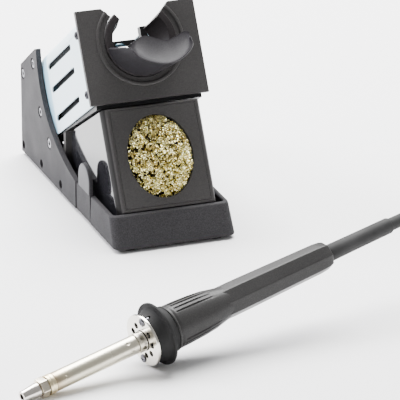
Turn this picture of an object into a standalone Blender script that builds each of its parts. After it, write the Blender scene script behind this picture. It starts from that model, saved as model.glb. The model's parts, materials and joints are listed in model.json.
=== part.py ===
"""A bench rest with a brass-wool cleaning box, and the heated handpiece that lies in front of it.

Lengths are in millimetres until they reach a mesh, where MM turns them into metres.
X runs to the right, Y to the back and Z up, and everything stands on z = 0.
"""
import math

import bmesh
import bpy
from mathutils import Matrix, Vector

MM = 0.001
GAP = 0.35                # air between neighbours

# where the two halves of the set stand
REST_AT = Vector((32.64, 1.69, 0.0))          # middle of the rest's front edge
TIP_AT = Vector((-120.06, -176.61))           # mouth of the handpiece's nozzle
HAND_TURN = math.radians(15.3)              # handpiece, turned from +X towards +Y

# rest: base
HALF_WIDTH = 38.0
LENGTH = 178.0
BASE_Z = 2.0              # underside, above the feet
TRAY_TOP = 19.8
TRAY_END = 46.5           # back of the front tray
WALL = 3.2
PAN_TOP = 4.8
FRONT_LEAN = 9.9          # how far the front wall leans back
PANEL_START = 73.2        # front of the two rear side panels
PANEL_BACK_Z = 59.0

# rest: everything in the leaning frame (X, Y back along the tool's axis, Z up the face)
LEAN = math.radians(30.0)
FACE_FOOT = Vector((0.0, 12.0, 20.5))
BOX_HALF = 30.8
FRONT_HALF = 26.5
BOX_HEIGHT = 62.5
BOX_DEPTH = 73.5
OVAL = (20.0, 25.0)
PLATE_HALF = 37.0
PLATE_LOW = 65.5
PLATE_TOP = 122.5
PLATE_THICK = 3.0
BORE_UP = 101.0           # height of the tool's axis up the face
BORE_R = 22.3
NOTCH_HALF = 21.0
PIVOT = (93.5, 60.4)      # holder's hinge, back and up in the leaning frame
COVER_HALF = 34.3
COVER_END = 97.0
GUIDE_R = 9.8

# handpiece, along its own axis from the mouth
TIP_R = 3.2
GUARD_R = 18.1
GUARD_AT = 90.0
BARREL_R = 5.4
FLANGE_R = 15.0
FLANGE_AT = 80.0
GRIP_END = 134.0
HANDLE_END = 207.0
RELIEF_END = 252.0
HAND_TILT = math.atan((GUARD_R - TIP_R) / GUARD_AT)   # it rests on its mouth and its guard

# lead
CORD_R = 3.75
COIL_AT = Vector((246.8, -67.0))
COIL_R = 38.5             # middle of three turns side by side
TURN_STEP = 2 * CORD_R

for old in list(bpy.data.objects):
    bpy.data.objects.remove(old, do_unlink=True)


# ---------------------------------------------------------------- frames
REST = Matrix.Translation(REST_AT * MM)
HEAD = REST @ Matrix.Translation(FACE_FOOT * MM) @ Matrix.Rotation(-LEAN, 4, "X")


def hand_frame():
    """Z runs from the mouth to the rear, Y points up."""
    z = Vector((math.cos(HAND_TURN) * math.cos(HAND_TILT),
                math.sin(HAND_TURN) * math.cos(HAND_TILT), math.sin(HAND_TILT)))
    x = Vector((-math.sin(HAND_TURN), math.cos(HAND_TURN), 0.0))
    turn = Matrix((x, z.cross(x), z)).transposed().to_4x4()
    tip = Vector((TIP_AT.x, TIP_AT.y, TIP_R * math.cos(HAND_TILT)))
    return Matrix.Translation(tip * MM) @ turn


HAND = hand_frame()


def empty(name, matrix):
    marker = bpy.data.objects.new(name, None)
    bpy.context.collection.objects.link(marker)
    marker.matrix_basis = matrix
    return marker


def at(frame, x, y, z):
    """A frame moved to a point given in its own millimetres."""
    return frame @ Matrix.Translation(Vector((x, y, z)) * MM)


AXES = {
    "base": empty("base_frame", REST),
    "holder": empty("holder_hinge", at(HEAD, 0, *PIVOT)),
    "insert": empty("insert_axis", at(HEAD, 0, 0, BORE_UP)),
    "box": empty("box_slide", HEAD),
    "tab_left": empty("tab_left_hinge", at(REST, -36.7, 59.7, 5.0)),
    "tab_right": empty("tab_right_hinge", at(REST, 36.7, 59.7, 5.0)),
    "hand": empty("handpiece_axis", HAND),
}


# ---------------------------------------------------------------- materials
def material(name, colour, roughness, metallic=0.0):
    look = bpy.data.materials.new(name)
    look.use_nodes = True
    shader = look.node_tree.nodes["Principled BSDF"]
    shader.inputs["Base Color"].default_value = (*colour, 1.0)
    shader.inputs["Roughness"].default_value = roughness
    shader.inputs["Metallic"].default_value = metallic
    return look


GREY = material("speckled_plastic", (0.20, 0.20, 0.21), 0.55)
DARK = material("dark_plastic", (0.045, 0.045, 0.043), 0.5)
GLOSS = material("gloss_black", (0.015, 0.015, 0.018), 0.12)
BLUE = material("pale_blue_paint", (0.72, 0.88, 0.95), 0.4)
RUBBER = material("black_rubber", (0.03, 0.03, 0.03), 0.75)
STEEL = material("warm_steel", (0.66, 0.60, 0.53), 0.28, 1.0)
CHROME = material("chrome", (0.85, 0.85, 0.86), 0.12, 1.0)
BRASS = material("brass", (0.72, 0.52, 0.22), 0.3, 1.0)
HANDLE = material("handle_plastic", (0.06, 0.06, 0.058), 0.45)


# ---------------------------------------------------------------- mesh helpers
def add(name, bm, look, frame, body, smooth=True):
    """Turn a bmesh in millimetres into an object that hangs on its body's empty."""
    bmesh.ops.remove_doubles(bm, verts=bm.verts, dist=1e-4)
    bmesh.ops.recalc_face_normals(bm, faces=bm.faces)
    bmesh.ops.scale(bm, vec=(MM, MM, MM), verts=bm.verts)
    mesh = bpy.data.meshes.new(name)
    bm.to_mesh(mesh)
    bm.free()
    if smooth:
        mesh.shade_smooth()
        mesh.set_sharp_from_angle(angle=math.radians(35))
    mesh.materials.append(look)
    thing = bpy.data.objects.new(name, mesh)
    bpy.context.collection.objects.link(thing)
    thing.parent = AXES[body]
    thing.matrix_parent_inverse = AXES[body].matrix_basis.inverted()
    thing.matrix_basis = frame
    return thing


def loft(sections):
    """A closed solid through outlines that have the same number of points."""
    bm = bmesh.new()
    rings = [[bm.verts.new(point) for point in section] for section in sections]
    for low, high in zip(rings, rings[1:]):
        for i, corner in enumerate(low):
            j = (i + 1) % len(low)
            bm.faces.new((corner, low[j], high[j], high[i]))
    bm.faces.new(rings[0][::-1])
    bm.faces.new(rings[-1])
    return bm


def prism(outline, low, high, along):
    """Extrude an outline of the other two coordinates from low to high."""
    order = {"X": lambda a, b, c: (c, a, b), "Y": lambda a, b, c: (a, c, b), "Z": lambda a, b, c: (a, b, c)}
    point = order[along]
    return loft([[point(a, b, c) for a, b in outline] for c in (low, high)])


def box(x0, x1, y0, y1, z0, z1):
    return prism([(x0, y0), (x1, y0), (x1, y1), (x0, y1)], z0, z1, "Z")


def arc(centre, radius, start, end, steps):
    """Points on an arc or an ellipse; angles in degrees."""
    rx, ry = radius if isinstance(radius, tuple) else (radius, radius)
    turns = [math.radians(start + (end - start) * i / steps) for i in range(steps + 1)]
    return [(centre[0] + rx * math.cos(t), centre[1] + ry * math.sin(t)) for t in turns]


def ring_of(centre, radius, steps):
    return arc(centre, radius, 0, 360 - 360 / steps, steps - 1)


def round_rect(x0, x1, y0, y1, front, back, steps=4):
    """A rectangle with its front and back corners rounded."""
    return (arc((x0 + front, y0 + front), front, 180, 270, steps)
            + arc((x1 - front, y0 + front), front, 270, 360, steps)
            + arc((x1 - back, y1 - back), back, 0, 90, steps)
            + arc((x0 + back, y1 - back), back, 90, 180, steps))


def turned(profile, sides):
    """Spin a closed profile of (radius, along) about Z."""
    bm = bmesh.new()
    verts = [bm.verts.new((r, 0.0, z)) for r, z in profile]
    edges = [bm.edges.new((a, b)) for a, b in zip(verts, verts[1:])]
    if profile[0][0] > 0:
        edges.append(bm.edges.new((verts[-1], verts[0])))
    bmesh.ops.spin(bm, geom=verts + edges, cent=(0, 0, 0), axis=(0, 0, 1),
                   angle=math.tau, steps=sides, use_merge=True)
    bmesh.ops.remove_doubles(bm, verts=bm.verts, dist=1e-4)
    return bm


def moved(bm, matrix=None, offset=(0, 0, 0)):
    if matrix is not None:
        bmesh.ops.transform(bm, matrix=matrix, verts=bm.verts)
    bmesh.ops.translate(bm, vec=offset, verts=bm.verts)
    return bm


ALONG_X = Matrix.Rotation(math.radians(90), 4, "Y")       # a turned shape laid along +X
ALONG_BACK = Matrix.Rotation(math.radians(-90), 4, "X")   # a turned shape laid along +Y


def join(target, other, operation="DIFFERENCE"):
    """Cut or unite, with the other shape kept as a hidden guide."""
    other.hide_render = True
    other.display_type = "WIRE"
    step = target.modifiers.new(operation.lower(), "BOOLEAN")
    step.operation = operation
    step.object = other
    step.solver = "EXACT"


def cut(target, bm, frame, body):
    join(target, add(target.name + "_cutter", bm, DARK, frame, body, smooth=False))


def unite(target, bm, frame, body):
    join(target, add(target.name + "_added", bm, DARK, frame, body, smooth=False), "UNION")


def rod(radius, low, high, sides=20):
    return turned([(0, low), (radius, low), (radius, high), (0, high)], sides)


def tube(inner, outer, low, high, sides=32):
    return turned([(inner, low), (outer, low), (outer, high), (inner, high)], sides)


# ---------------------------------------------------------------- rest: base
def tray_outline(z, inset):
    """The front tray's outline at a height, with its leaning front wall."""
    rise = (z - BASE_Z) / (TRAY_TOP - BASE_Z)
    half = HALF_WIDTH - 0.8 * rise - inset
    front = FRONT_LEAN * rise + inset
    corner = max(5.0 - inset, 1.5)
    return [(x, y, z) for x, y in round_rect(-half, half, front, TRAY_END, corner, 0.6)]


def base_tray():
    walls = loft([tray_outline(BASE_Z, 0.6), tray_outline(BASE_Z + 0.6, 0.0),
                  tray_outline(TRAY_TOP - 1.0, 0.0), tray_outline(TRAY_TOP, 0.8)])
    tray = add("base_tray", walls, DARK, REST, "base")
    unite(tray, box(-34.2, 34.2, TRAY_END - 6, LENGTH - 4, BASE_Z, PAN_TOP), REST, "base")
    stop = [(102.5, PAN_TOP - 1), (106.5, PAN_TOP - 1), (106.5, 38.4), (102.5, 40.7)]   # the holder rests on it
    inner = [[(x, y + (40 if y > 30 else 0), z) for x, y, _ in tray_outline(z, WALL)]
             for z in (PAN_TOP, TRAY_TOP + 4)]
    cut(tray, loft(inner), REST, "base")
    unite(tray, prism(stop, -30, 30, "X"), REST, "base")


def panel_outline():
    """Side panel seen from the side: a concave front edge that sweeps up to the rear."""
    start = Vector((PANEL_START, 19.3))
    pull = Vector((141.0, 31.0))
    end = Vector((146.8, 79.0))
    sweep = []
    for i in range(13):
        t = i / 12
        point = start * (1 - t) ** 2 + pull * 2 * t * (1 - t) + end * t ** 2
        sweep.append((point.x, point.y))
    return [(PANEL_START, BASE_Z + 0.2), *sweep, (149.4, 78.2), (LENGTH, PANEL_BACK_Z), (LENGTH, BASE_Z + 0.2)]


INSERTS = ((174.0, 54.2), (153.8, 67.2), (140.2, 40.5))   # screws through each side panel
SMALL_HOLES = ((174.6, 7.0), (138.8, 7.3), (101.8, 7.1))
PIVOT_AT = (FACE_FOOT.y + PIVOT[0] * math.cos(LEAN) + PIVOT[1] * math.sin(LEAN),
            FACE_FOOT.z - PIVOT[0] * math.sin(LEAN) + PIVOT[1] * math.cos(LEAN))


def side_hole(side, y, z, profile, sides=16):
    """A turned shape whose +Z points inwards from a side panel's outer face."""
    turn = Matrix.Rotation(math.radians(-90 * side), 4, "Y")
    return moved(turned(profile, sides), turn, (side * HALF_WIDTH, y, z))


def side_panel(side, name):
    low, high = sorted((side * (HALF_WIDTH - WALL), side * HALF_WIDTH))
    panel = add(name, prism(panel_outline(), low, high, "X"), GREY, REST, "base")
    for y, z in INSERTS:
        seat = [(0, -1), (3.3, -1), (3.3, 1.5), (1.9, 1.5), (1.9, 5), (0, 5)]
        cut(panel, side_hole(side, y, z, seat), REST, "base")
    pivot_seat = [(0, -1), (3.6, -1), (3.6, 1.6), (2.4, 1.6), (2.4, 5), (0, 5)]
    cut(panel, side_hole(side, *PIVOT_AT, pivot_seat), REST, "base")
    for y, z in SMALL_HOLES:
        cut(panel, side_hole(side, y, z, [(0, -1), (2.3, -1), (2.3, 5), (0, 5)], 12), REST, "base")


def side_screws(side, name):
    """Hex-socket screws that hold the rear wall and pan, and the holder's shoulder screw."""
    for i, (y, z) in enumerate(INSERTS, 1):
        shape = [(0, 1.0), (1.1, 1.0), (1.1, 0.3), (2.8, 0.3), (2.8, 1.2), (1.5, 1.2), (1.5, 3.4), (0, 3.4)]
        add(f"panel_screw_{name}_{i}", side_hole(side, y, z, shape), CHROME, REST, "base")
    shape = [(0, 1.2), (1.3, 1.2), (1.3, 0.2), (3.2, 0.2), (3.2, 1.25), (2.0, 1.25), (2.0, 8.2), (0, 8.2)]
    add(f"pivot_screw_{name}", side_hole(side, *PIVOT_AT, shape), CHROME, REST, "base")


def rear_wall():
    add("rear_wall", box(-34.4, 34.4, 174.6, 177.4, PAN_TOP + GAP, 57.0), DARK, REST, "base")


def feet():
    shape = [(0, 0), (5.6, 0), (6.2, 0.6), (6.2, BASE_Z - GAP), (0, BASE_Z - GAP)]
    spots = {"front_left": (-27, 10), "front_right": (27, 10), "rear_left": (-27, 164), "rear_right": (27, 164)}
    for name, (x, y) in spots.items():
        add(f"foot_{name}", moved(turned(shape, 20), offset=(x, y, 0)), RUBBER, REST, "base")


def release_tab(side, name):
    """A springy tongue in the side wall, pressed inwards by its round ear."""
    ear = 10.3
    outline = [(47.2, BASE_Z + 0.3), (72.4, BASE_Z + 0.3), (72.4, 19.3), (47.2 + 2 * ear, 19.3)]
    outline += arc((47.2 + ear, 26.2), ear, 0, 180, 12)
    low, high = sorted((side * (HALF_WIDTH - 2.6), side * HALF_WIDTH))
    add(f"release_tab_{name}", prism(outline, low, high, "X"), GREY, REST, f"tab_{name}")


# ---------------------------------------------------------------- rest: tilting holder
def head_plate():
    """Leaning plate with a V notch that leads into the funnel insert's bore."""
    low, top = PLATE_LOW, PLATE_TOP
    outline = [(-PLATE_HALF, low), (PLATE_HALF, low), (PLATE_HALF, top), (-PLATE_HALF, top)]
    plate = add("head_plate", prism(outline, 0.0, PLATE_THICK, "Y"), DARK, HEAD, "holder")
    bead = turned([(24.4, 0.5), (24.4, -0.6), (25.0, -1.1), (26.6, -1.1), (27.2, -0.6), (27.2, 0.5)], 48)
    unite(plate, moved(bead, ALONG_BACK, (0, 0, BORE_UP)), HEAD, "holder")
    cut(plate, moved(rod(BORE_R, -5, 8, 48), ALONG_BACK, (0, 0, BORE_UP)), HEAD, "holder")
    notch = [(0, PLATE_TOP - NOTCH_HALF), (NOTCH_HALF + 8, PLATE_TOP + 8), (-NOTCH_HALF - 8, PLATE_TOP + 8)]
    cut(plate, prism(notch, -5, 8, "Y"), HEAD, "holder")


def cover_section(y, low, shoulder, top):
    """The bent sheet's closed outline, outside and inside."""
    sheet = 1.2
    corner = top - shoulder
    outer = [(-COVER_HALF, low)] + arc((-COVER_HALF + corner, shoulder), corner, 180, 90, 6)
    outer += arc((COVER_HALF - corner, shoulder), corner, 90, 0, 6) + [(COVER_HALF, low)]
    half = COVER_HALF - sheet
    inner = [(half, low)] + arc((half - corner + sheet, shoulder), corner - sheet, 0, 90, 6)
    inner += arc((-half + corner - sheet, shoulder), corner - sheet, 90, 180, 6) + [(-half, low)]
    return [(x, y, z) for x, z in outer + inner]


def holder_cover():
    cover = add("holder_cover", loft([cover_section(PLATE_THICK + GAP, 66.2, 112.0, 121.0),
                                      cover_section(COVER_END, 63.6, 106.5, 115.5)]), BLUE, HEAD, "holder")
    for up in (75.3, 93.0, 107.2):
        half = 1.5
        slot = arc((31.0, up), half, 90, 270, 6) + arc((79.0, up - 2.6), half, -90, 90, 6)
        cut(cover, prism(slot, -40, 40, "X"), HEAD, "holder")
    for y, z in COVER_SCREWS:
        hole = moved(rod(1.5, -40, 40, 12), ALONG_X, (0, y, z))
        cut(cover, hole, HEAD, "holder")
    cut(cover, box(-24, 24, -5, COVER_END - 6, 105, 130), HEAD, "holder")     # the tool goes in from above


COVER_SCREWS = ((11.0, 74.0), (11.0, 110.0))


def holder_channel():
    """Black trough under the cover; its rear ears carry the hinge."""
    y, z = PIVOT
    side = [(PLATE_THICK + GAP, 63.3), (y - 9, 63.3), (y - 6, z)] + arc((y, z), 6.0, 180, 360, 10)
    side += [(y + 6, 66), (y + 2, 80), (PLATE_THICK + GAP, 80)]
    outline = [(-32.9, 63.3), (32.9, 63.3), (32.9, 80), (30.9, 80), (30.9, 65.3), (-30.9, 65.3),
               (-30.9, 80), (-32.9, 80)]
    channel = add("holder_channel", prism(outline, PLATE_THICK + GAP, 84.0, "Y"), DARK, HEAD, "holder")
    for low, high in ((-32.9, -30.9), (30.9, 32.9)):
        unite(channel, prism(side, low, high, "X"), HEAD, "holder")
    cut(channel, moved(rod(2.4, -40, 40, 16), ALONG_X, (0, y, z)), HEAD, "holder")


def cover_screws():
    shape = [(0, 0), (2.2, 0), (2.5, 0.5), (2.3, 1.1), (0, 1.4)]
    number = 0
    for side in (-1, 1):
        for y, z in COVER_SCREWS:
            number += 1
            turn = Matrix.Rotation(math.radians(90 * side), 4, "Y")
            head = moved(turned(shape, 14), turn, (side * (COVER_HALF + GAP), y, z))
            add(f"cover_screw_{number}", head, CHROME, HEAD, "holder")


def tool_guide():
    """Heat-shielding trough behind the plate that the hot end lies in, open above."""
    outline = arc((0, 0), GUIDE_R, 180, 360, 16) + [(GUIDE_R, 3), (GUIDE_R - 1.5, 3)]
    outline += arc((0, 0), GUIDE_R - 1.5, 360, 180, 16) + [(1.5 - GUIDE_R, 3), (-GUIDE_R, 3)]
    trough = prism([(x, BORE_UP + z) for x, z in outline], 22, 78, "Y")
    guide = add("tool_guide", trough, DARK, HEAD, "holder")
    foot = prism([(-7, 65.3 + GAP), (7, 65.3 + GAP), (7, 67), (1, 67), (1, 92), (-1, 92), (-1, 67), (-7, 67)],
                 40, 58, "Y")
    unite(guide, foot, HEAD, "holder")
    unite(guide, box(GUIDE_R - 1.5, GUIDE_R + 2.5, 22, 27, BORE_UP - 2, BORE_UP + 12), HEAD, "holder")
    unite(guide, box(-GUIDE_R, GUIDE_R, 40, 42, BORE_UP - 6, BORE_UP + 7.8), HEAD, "holder")
    cut(guide, moved(rod(6.6, 30, 50, 32), ALONG_BACK, (0, 0, BORE_UP)), HEAD, "holder")


def funnel_insert():
    """Clip-in collar that narrows towards the guide: open at the top, with a lip below."""
    wall = [(13.5, 20.0), (15.3, 20.0), (16.6, 12.0), (21.9, PLATE_THICK), (21.9, -2.0), (22.6, -12.0), (23.2, -26.0),
            (21.4, -28.0), (19.6, -12.0), (19.0, -1.0), (14.5, 12.0)]
    insert = add("funnel_insert", moved(turned(wall, 48), ALONG_BACK, (0, 0, BORE_UP)), DARK, HEAD, "insert")
    wedge = [(0, 0)] + arc((0, 0), 40, 46, 129, 6)
    cut(insert, prism([(x, BORE_UP + z) for x, z in wedge], -40, 30, "Y"), HEAD, "insert")
    above = [(-30, BORE_UP - 1), (30, BORE_UP - 1), (30, BORE_UP + 30), (-30, BORE_UP + 30)]
    cut(insert, prism(above, -40, -5.0, "Y"), HEAD, "insert")


# ---------------------------------------------------------------- rest: cleaning box
def box_outline(inset):
    """The cleaning box from the side: bottom along the tool's axis, then flat on the tray."""
    i = inset
    rear = [(70.0 - i, 31.0), (BOX_DEPTH - i, 45.0), (BOX_DEPTH - 1 - i, 52.0), (BOX_DEPTH - 5.5 - i, 59.5 - i)]
    return [(0.0, i), (30.0 + i, i), (62.0, 19.6 + i), *rear, (60.0, BOX_HEIGHT - i), (0.0, BOX_HEIGHT - i)]


def box_shell():
    outer = prism(box_outline(0.0), -BOX_HALF, BOX_HALF, "X")
    shell = add("box_shell", outer, GLOSS, HEAD, "box")
    inner = [(y - (3 if y < 1 else 0), z) for y, z in box_outline(1.8)]
    cut(shell, prism(inner, -FRONT_HALF, FRONT_HALF, "X"), HEAD, "box")


def box_front():
    half = FRONT_HALF - GAP
    front = add("box_front", box(-half, half, -0.4, 2.2, 1.8 + GAP, BOX_HEIGHT - 1.8 - GAP), DARK, HEAD, "box")
    cut(front, prism(ring_of((0, BOX_HEIGHT / 2), OVAL, 40), -5, 8, "Y"), HEAD, "box")


def brass_wool():
    """Plain crowned stand-in for the ball of shavings."""
    centre = BOX_HEIGHT / 2
    ball = bmesh.new()
    bmesh.ops.create_uvsphere(ball, u_segments=20, v_segments=12, radius=1.0)
    bmesh.ops.scale(ball, vec=(24.5, 20.0, 27.0), verts=ball.verts)
    wool = add("brass_wool", moved(ball, offset=(0, 22.9, centre)), BRASS, HEAD, "box")
    crown = bmesh.new()
    bmesh.ops.create_uvsphere(crown, u_segments=20, v_segments=12, radius=1.0)
    bmesh.ops.scale(crown, vec=(18.8, 12.0, 23.5), verts=crown.verts)
    unite(wool, moved(crown, offset=(0, 5.0, centre)), HEAD, "box")


# ---------------------------------------------------------------- handpiece
def on_hand(name, bm, look, smooth=True):
    return add(name, bm, look, HAND, "hand", smooth)


def hot_end():
    nozzle = [(1.9, 0), (TIP_R, 0), (3.5, 3.0), (4.5, 9.2), (4.5, 10.6), (3.0, 10.6), (3.0, 6.0), (1.9, 2.0)]
    on_hand("nozzle_tip", turned(nozzle, 28), STEEL)
    hexagon = prism(ring_of((0, 0), 5.7, 6), 10.6 + GAP, 15.6, "Z")
    nut = on_hand("nozzle_nut", hexagon, STEEL, smooth=False)
    cut(nut, rod(3.2, 5, 20, 24), HAND, "hand")
    on_hand("brass_ferrule", tube(3.4, 5.6, 15.6 + GAP, 20.0, 32), BRASS)
    on_hand("barrel", tube(4.7, BARREL_R, 20.0 + GAP, 74.6, 32), STEEL)
    sleeve = [(3.2, 74.6 + GAP), (5.75, 74.6 + GAP), (5.75, FLANGE_AT - GAP), (3.2, FLANGE_AT - GAP)]
    on_hand("barrel_sleeve", turned(sleeve, 32), STEEL)
    on_hand("heater_core", rod(2.6, 21.0, 96.0, 16), CHROME)


def flange():
    disc = on_hand("flange", tube(5.0, FLANGE_R, FLANGE_AT, FLANGE_AT + 1.6, 40), CHROME)
    for angle in (100, 280):
        x, y = arc((0, 0), 12.2, angle, angle, 1)[0]
        cut(disc, moved(rod(1.7, 70, 90, 12), offset=(x, y, 0)), HAND, "hand")
        head = [(0, -0.9), (1.9, -0.9), (2.4, -0.4), (2.4, -GAP), (1.35, -GAP), (1.35, 4.4), (0, 4.4)]
        screw = moved(turned(head, 14), offset=(x, y, FLANGE_AT))
        on_hand(f"flange_screw_{1 if angle < 180 else 2}", screw, CHROME)


def guard():
    """Flared rubber hand guard; its rim is what the handpiece rests on."""
    rim = GUARD_AT
    low = FLANGE_AT + 1.6 + GAP
    profile = [(6.0, low), (13.2, low), (14.2, rim - 3.4), (16.6, rim - 1.5), (GUARD_R - 0.5, rim - 1.0),
               (GUARD_R, rim), (GUARD_R - 0.5, rim + 1.0), (16.4, rim + 1.6), (13.4, rim + 4.0),
               (13.2, 96.0), (6.0, 96.0)]
    collar = on_hand("hand_guard", turned(profile, 48), RUBBER)
    for angle in (100, 280):
        x, y = arc((0, 0), 12.2, angle, angle, 1)[0]
        cut(collar, moved(rod(1.8, 75, 86, 12), offset=(x, y, 0)), HAND, "hand")


def front_grip():
    """Soft front grip, with grooves along its upper side."""
    profile = [(6.0, 96.0 + GAP), (12.9, 96.0 + GAP), (12.7, 104), (12.0, 116), (11.0, 126), (10.3, 130.5),
               (9.6, GRIP_END), (6.0, GRIP_END)]
    grip = on_hand("front_grip", turned(profile, 40), HANDLE)
    for angle in (66, 82, 98, 114, 130):
        x, y = arc((0, 0), 13.2, angle, angle, 1)[0]
        groove = rod(1.0, 99, 129, 8)
        cut(grip, moved(groove, offset=(x, y, 0)), HAND, "hand")


def octagon(radius, z):
    return [(x, y, z) for x, y in arc((0, 0), radius / math.cos(math.pi / 8), 22.5, 22.5 + 315, 7)]


def rear_handle():
    solid = loft([octagon(8.9, GRIP_END + GAP), octagon(8.9, 140), octagon(8.5, 175), octagon(8.0, 203),
                  octagon(7.2, HANDLE_END)])
    handle = on_hand("rear_handle", solid, HANDLE, smooth=False)
    cut(handle, rod(5.2, GRIP_END - 5, HANDLE_END + 5, 20), HAND, "hand")


def strain_relief():
    profile = [(0, 198), (4.9, 198), (4.9, 206.8), (4.95, HANDLE_END + GAP), (4.75, 225), (4.6, RELIEF_END - 1),
               (4.2, RELIEF_END), (0, RELIEF_END)]
    on_hand("strain_relief", turned(profile, 24), RUBBER)


# ---------------------------------------------------------------- lead
FREE_ROUTE = (            # across the bench from the strain relief, and the height
    (11.8, 3.2, 46.1), (20, 5.2, 46.6), (28, 6.6, 45.3), (36, 7.2, 41.6), (44, 7.0, 35.6), (52, 6.0, 28.4),
    (60, 4.4, 21.4), (68, 2.6, 14.8), (76, 0.9, 9.4), (84, -0.6, 5.7), (91, -1.5, 4.1), (97.5, -2.0, 3.9),
)


def smooth_route(points, step):
    """Evenly spaced points on a Catmull-Rom curve through a route."""
    ends = [points[0] * 2 - points[1], *points, points[-1] * 2 - points[-2]]
    dense = []
    for a, b, c, d in zip(ends, ends[1:], ends[2:], ends[3:]):
        for i in range(40):
            t = i / 40
            dense.append(0.5 * (2 * b + (c - a) * t + (2 * a - 5 * b + 4 * c - d) * t ** 2
                                + (3 * b - a - 3 * c + d) * t ** 3))
    dense.append(points[-1])
    even = [dense[0]]
    for point in dense:
        if (point - even[-1]).length >= step:
            even.append(point)
    even[-1] = dense[-1]
    return even


def add_tube(name, points, radius, look):
    curve = bpy.data.curves.new(name, "CURVE")
    curve.dimensions = "3D"
    curve.bevel_depth = radius * MM
    curve.bevel_resolution = 2
    curve.use_fill_caps = True
    spline = curve.splines.new("POLY")
    spline.points.add(len(points) - 1)
    for knot, point in zip(spline.points, points):
        knot.co = (*(point * MM), 1.0)
    curve.materials.append(look)
    lead = bpy.data.objects.new(name, curve)
    bpy.context.collection.objects.link(lead)
    lead.parent = AXES["hand"]
    lead.matrix_parent_inverse = AXES["hand"].matrix_basis.inverted()


def lead():
    """The stretches of the handpiece's lead that aren't coiled."""
    exit_at = (HAND @ Vector((0, 0, (RELIEF_END + GAP) * MM))) / MM
    start = Vector((exit_at.x, exit_at.y, 0))
    route = [exit_at] + [start + Vector(p) for p in FREE_ROUTE]
    add_tube("lead_cord", smooth_route(route, 8.0), CORD_R, RUBBER)
    side = COIL_AT.x + COIL_R + TURN_STEP
    way = ((26.4, 11.1), (34.8, 10.7), (42.9, 10.4))
    tail = [Vector((side, COIL_AT.y + along, height)) for along, height in way]
    add_tube("lead_tail", tail, CORD_R, RUBBER)


def coil():
    spread = 1.5 * TURN_STEP - 0.2
    inner, outer = COIL_R - spread, COIL_R + spread
    top = 4 * CORD_R
    profile = [(inner + 2, 0), (outer - 2, 0), (outer, 2.4), (outer, top - 2.4), (outer - 2, top), (inner + 2, top),
               (inner, top - 2.4), (inner, 2.4)]
    place = Matrix.Translation(Vector((COIL_AT.x, COIL_AT.y, 0)) * MM)
    add("lead_coil", turned(profile, 40), RUBBER, place, "hand")
    near = inner - 1.2                      # the leg inside the ring clears its curve
    tie = prism([(near - 1.3, 0.3), (near, 0.3), (near, top + GAP), (outer + GAP, top + GAP),
                 (outer + GAP, 0.3), (outer + 1.6, 0.3), (outer + 1.6, top + 1.6), (near - 1.3, top + 1.6)],
                -6, 6, "X")
    add("lead_tie", tie, RUBBER, place, "hand")


PLUG_AT = Vector((COIL_AT.x + COIL_R + TURN_STEP, COIL_AT.y + 59.3, 10.4))   # rear of the connector, axis +Y


def connector():
    frame = Matrix.Translation(PLUG_AT * MM) @ ALONG_BACK
    relief = [(0, -16), (4.4, -16), (5.2, -2), (5.6, -GAP), (0, -GAP)]
    add("plug_relief", turned(relief, 20), RUBBER, frame, "hand")
    body = [(0, 0), (8.4, 0), (9.2, 1.0), (9.2, 26), (8.2, 27), (0, 27)]
    add("plug_body", turned(body, 28), HANDLE, frame, "hand")
    ring = [(8.0, 27 + GAP), (9.6, 27 + GAP), (10.4, 28), (10.4, 40), (9.8, 41), (8.0, 41)]
    add("plug_ring", turned(ring, 28), CHROME, frame, "hand")
    face = [(0, 27 + GAP), (7.6, 27 + GAP), (7.6, 37), (0, 37)]
    add("plug_face", turned(face, 24), DARK, frame, "hand")


# ---------------------------------------------------------------- build
def main():
    base_tray()
    rear_wall()
    feet()
    for side, name in ((-1, "left"), (1, "right")):
        side_panel(side, f"side_panel_{name}")
        side_screws(side, name)
        release_tab(side, name)
    head_plate()
    holder_cover()
    holder_channel()
    cover_screws()
    tool_guide()
    funnel_insert()
    box_shell()
    box_front()
    brass_wool()
    hot_end()
    flange()
    guard()
    front_grip()
    rear_handle()
    strain_relief()
    lead()
    coil()
    connector()


main()
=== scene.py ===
"""Looks of the bench rest and its heated handpiece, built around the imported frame.

Shapes are in millimetres until they reach a mesh. REST, HEAD and HAND are the three frames that the
design is drawn in: the standing rest, its leaning holder, and the handpiece along its own axis.
"""
import json
import math
import random

import bmesh
import bpy
from mathutils import Matrix, Vector, noise


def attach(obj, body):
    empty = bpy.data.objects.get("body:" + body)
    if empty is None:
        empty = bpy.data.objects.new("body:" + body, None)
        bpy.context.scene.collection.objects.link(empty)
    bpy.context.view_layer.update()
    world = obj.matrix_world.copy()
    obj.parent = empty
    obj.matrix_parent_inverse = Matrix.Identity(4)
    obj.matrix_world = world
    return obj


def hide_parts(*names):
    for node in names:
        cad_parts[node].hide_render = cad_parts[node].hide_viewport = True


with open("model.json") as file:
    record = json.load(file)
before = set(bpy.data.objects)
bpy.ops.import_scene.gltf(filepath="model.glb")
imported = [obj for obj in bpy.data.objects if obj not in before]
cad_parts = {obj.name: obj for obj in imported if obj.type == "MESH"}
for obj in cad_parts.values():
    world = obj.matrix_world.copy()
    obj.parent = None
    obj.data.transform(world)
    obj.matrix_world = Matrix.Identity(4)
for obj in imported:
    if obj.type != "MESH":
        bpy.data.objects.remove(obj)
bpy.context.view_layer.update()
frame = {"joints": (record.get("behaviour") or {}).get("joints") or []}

MM = 0.001
GAP = 0.35                                   # between neighbouring pieces
MERGE = 1e-4
NEARLY_STRAIGHT = 0.15                       # a corner this close to straight, in radians, isn't rounded
LEAN = math.radians(30.0)
PIVOT = Vector((0.0, 93.5, 60.4))            # holder's hinge in the leaning frame
FACE_FOOT = Vector((0.0, 12.0, 20.5))        # leaning frame's origin in the rest's frame

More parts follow.
